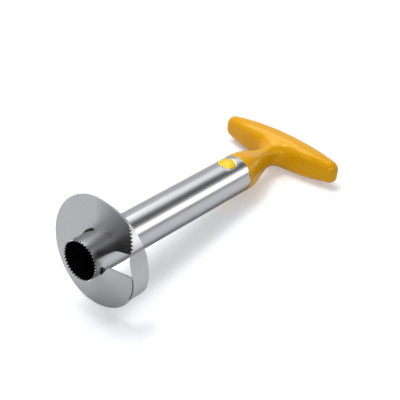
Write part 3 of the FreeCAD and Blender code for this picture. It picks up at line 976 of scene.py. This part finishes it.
def make_blade(material):
    """The blade with the edges of its sheet rounded, and its wall's teeth ground to points."""
    edge = ToothedEdge()
    inverse = TOOL.inverted()

    def level_edge(copy):
        """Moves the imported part's small teeth to one level, at the roots of the larger ones."""
        for vertex in copy.verts:
            point = inverse @ vertex.co
            radius = math.hypot(point.x, point.y)
            travel, depth = edge.measured(point)
            on_wall = radius > RIM_RADIUS - SHEET - 0.1 and point.dot(edge.outwards) > 0
            by_teeth = 0.2 < travel < edge.length - 0.1 and -0.5 < depth < WALL_ROOT
            if on_wall and by_teeth:
                vertex.co = TOOL @ edge.placed(travel, WALL_ROOT, radius)
        bmesh.ops.dissolve_degenerate(copy, edges=copy.edges, dist=0.01 * MM)

    pitch = edge.length / WALL_TEETH
    points = [
        edge.placed(pitch * (place + 0.5), WALL_ROOT, RIM_RADIUS - SHEET / 2)
        for place in reversed(range(WALL_TEETH))
    ]
    teeth = ground_teeth(
        "wall_line", points, material, Width=pitch, Height=WALL_TOOTH, Thickness=SHEET,
        Land=WALL_LAND,
    )
    piece = rounded_copy("slicing_blade", material, BLADE_ROUND, reshape=level_edge, extra=teeth)
    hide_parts("slicing_blade")
    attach(piece, "tool")


class Sheet:
    """The blade's sheet as it was packed, for pieces that lie on it."""

    def __init__(self):
        blade = frame["nodes"]["slicing_blade"].data
        self.surface = BVHTree.FromPolygons(
            [vertex.co for vertex in blade.vertices],
            [polygon.vertices for polygon in blade.polygons],
        )

    def height(self, radius, angle):
        """How far the sheet stands from the tip at a place on it."""
        place = self.surface.ray_cast(TOOL @ on_blade(radius, angle), ALONG)[0]
        return (TOOL.inverted() @ place).z


def bead_mesh(path, thickness, lumps):
    """A round bead along a path, with uneven lumps and tapered ends."""
    bead = bmesh.new()
    rings = []
    for place, centre in enumerate(path):
        before = path[max(place - 1, 0)]
        after = path[min(place + 1, len(path) - 1)]
        forward = (after - before).normalized()
        outward = Vector((centre.x, centre.y, 0)).normalized()
        upward = forward.cross(outward).normalized()
        share = place / (len(path) - 1)
        taper = math.sqrt(max(1 - (2 * share - 1) ** 8, 0.02))
        uneven = 1 + lumps * math.sin(place * 2.1) * math.sin(place * 0.7 + 1)
        size = thickness * taper * uneven
        ring = []
        for side in range(BEAD_SIDES):
            turn = 2 * math.pi * side / BEAD_SIDES
            offset = outward * math.cos(turn) * size + upward * math.sin(turn) * size
            ring.append(bead.verts.new(TOOL @ (centre + offset)))
        rings.append(ring)
    for ring, following in zip(rings, rings[1:]):
        for side in range(BEAD_SIDES):
            after = (side + 1) % BEAD_SIDES
            bead.faces.new([ring[side], ring[after], following[after], following[side]])
    bead.faces.new(rings[0][::-1])
    bead.faces.new(rings[-1])
    bmesh.ops.recalc_face_normals(bead, faces=bead.faces)
    return mesh_from("bead", bead)


def make_shade_beads(material):
    """The dark beads on the blade, painted shade for its gaps and fold, each along a path that follows the sheet.
    """
    sheet = Sheet()
    meshes = []
    for bead in SHADE_BEADS.values():
        path = []
        for step in range(bead["steps"] + 1):
            angle = bead["start"] + (bead["end"] - bead["start"]) * step / bead["steps"]
            height = sheet.height(bead["sheet_at"], angle) + bead["above"]
            path.append(on_blade(bead["radius"], angle, height))
        meshes.append(bead_mesh(path, bead["thickness"], bead["lumps"]))
    piece = new_piece("shade_beads", join_meshes("shade_beads", meshes), material)
    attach(piece, "tool")


def make_button(node, material):
    """A button with soft moulded edges, on its own moving body."""
    piece = rounded_copy(node, material, BUTTON_ROUND, steps=3, sharper_than=30)
    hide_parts(node)
    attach(piece, node)


def facing(place, target):
    """The turn that points a camera or a light from its place to its target."""
    return (Vector(target) - Vector(place)).to_track_quat("-Z", "Y")


def set_camera():
    """The photograph's view, placed from the tool's tip and its own axes."""
    data = bpy.data.cameras.new("camera")
    data.lens = CAMERA_LENS
    data.clip_end = 10
    camera = add_object("camera", data)
    place = TOOL @ Vector(CAMERA_PLACE)
    look = facing(place, TOOL @ Vector(CAMERA_AIM)).to_matrix().to_4x4()
    roll = Matrix.Rotation(-CAMERA_ROLL, 4, "Z")
    camera.matrix_world = Matrix.Translation(place) @ look @ roll
    bpy.context.scene.camera = camera


def set_lights():
    """The square lights over and beside the tool."""
    for name, (place, target, size, power) in SOFTBOXES.items():
        light = bpy.data.lights.new(name, "AREA")
        light.size = size
        light.energy = power
        lamp = add_object(name, light)
        lamp.location = place
        lamp.rotation_euler = facing(place, target).to_euler()


def set_floor():
    """White paper that takes the tool's soft shadow."""
    corners = [(x * FLOOR_HALF, y * FLOOR_HALF, 0) for x, y in ((-1, -1), (1, -1), (1, 1), (-1, 1))]
    mesh = bpy.data.meshes.new("floor")
    mesh.from_pydata(corners, [], [(0, 1, 2, 3)])
    floor = add_object("floor", mesh)
    finish = Finish("floor_paper")
    seen = finish.out(finish.node("LightPath"), "Is Camera Ray")
    length = finish.node("VectorMath", {"operation": "LENGTH"})
    finish.feed(length.inputs[0], finish.out(finish.node("TexCoord"), "Object"))
    far = ((finish.out(length, "Value") - FLOOR_FAR) * FLOOR_FADE).clamped()
    finish.surface(
        Base_Color=FLOOR_COLOUR,
        Roughness=0.9,
        Specular_IOR_Level=0.0,
        Emission_Color=(1, 1, 1),
        Emission_Strength=(FLOOR_GLOW + (1 - FLOOR_GLOW) * far) * seen,
    )
    mesh.materials.append(finish.material)


def set_world():
    """White to the camera, plain and dim to matt surfaces, and a lit studio to the steel."""
    world = bpy.data.worlds.new("studio")
    world.use_nodes = True
    bpy.context.scene.world = world
    shader = Shader(world.node_tree)
    path = shader.node("LightPath")
    seen, mirrored = shader.out(path, "Is Camera Ray"), shader.out(path, "Is Glossy Ray")
    direction = shader.out(shader.node("TexCoord"), "Generated")

    def towards(axis):
        dot = shader.node("VectorMath", {"operation": "DOT_PRODUCT"})
        shader.feed(dot.inputs[0], direction)
        shader.feed(dot.inputs[1], axis)
        return shader.out(dot, "Value")

    angle = towards(UP).maths("ARCTAN2", towards(SIDE)) * math.degrees(1)
    studio = STUDIO_WALLS
    for centre, half_width, edge, brightness in STRIPS.values():
        away = (angle - centre).maths("ABSOLUTE")
        clear = ((half_width + edge - away) / edge).clamped()
        studio = studio + brightness * (clear * clear * (3.0 - 2.0 * clear))
    strength = seen + (1 - seen) * (mirrored * studio + (1 - mirrored) * AMBIENT)
    shader.feed_all(world.node_tree.nodes["Background"], {"Color": (1, 1, 1), "Strength": strength})


set_camera()
set_floor()
set_world()
set_lights()

# The tube's inside is painted nearly black as shade; its ground teeth are a little darker and rougher.
tube_steel = brushed_steel("brushed_steel", shade_and_grinding=tube_shade_and_grinding, left=0.04)
# The blade's steel is painted dark as shade on its disc near the wall and along the wall's crease.
blade_steel = brushed_steel(
    "blade_steel", colour=(0.52, 0.52, 0.53), roughness=0.36, shade_and_grinding=painted_shade_sector, left=0.12
)
# Nearly black steel for the beads, which are painted shade in the blade's gaps and at its fold.
gap_shade_steel = brushed_steel("gap_shade_steel", colour=(0.06, 0.06, 0.065), roughness=0.5)
handle_plastic = moulded_plastic("handle_plastic", (0.71, 0.34, 0.003))
button_plastic = moulded_plastic("button_plastic", (0.76, 0.52, 0.008))
spring_steel = brushed_steel("spring_steel", colour=(0.5, 0.5, 0.52))

for node, material in {
    "corer_tube": tube_steel,
    "slicing_blade": blade_steel,
    "handle": handle_plastic,
    "upper_button": button_plastic,
    "lower_button": button_plastic,
    "button_spring": spring_steel,
}.items():
    only_material(frame["nodes"][node].data, material)

make_tube(tube_steel)
make_blade(blade_steel)
make_shade_beads(gap_shade_steel)
make_handle(handle_plastic)
make_button("upper_button", button_plastic)
make_button("lower_button", button_plastic)
make_spring(spring_steel)

bpy.context.scene.view_settings.view_transform = "Standard"
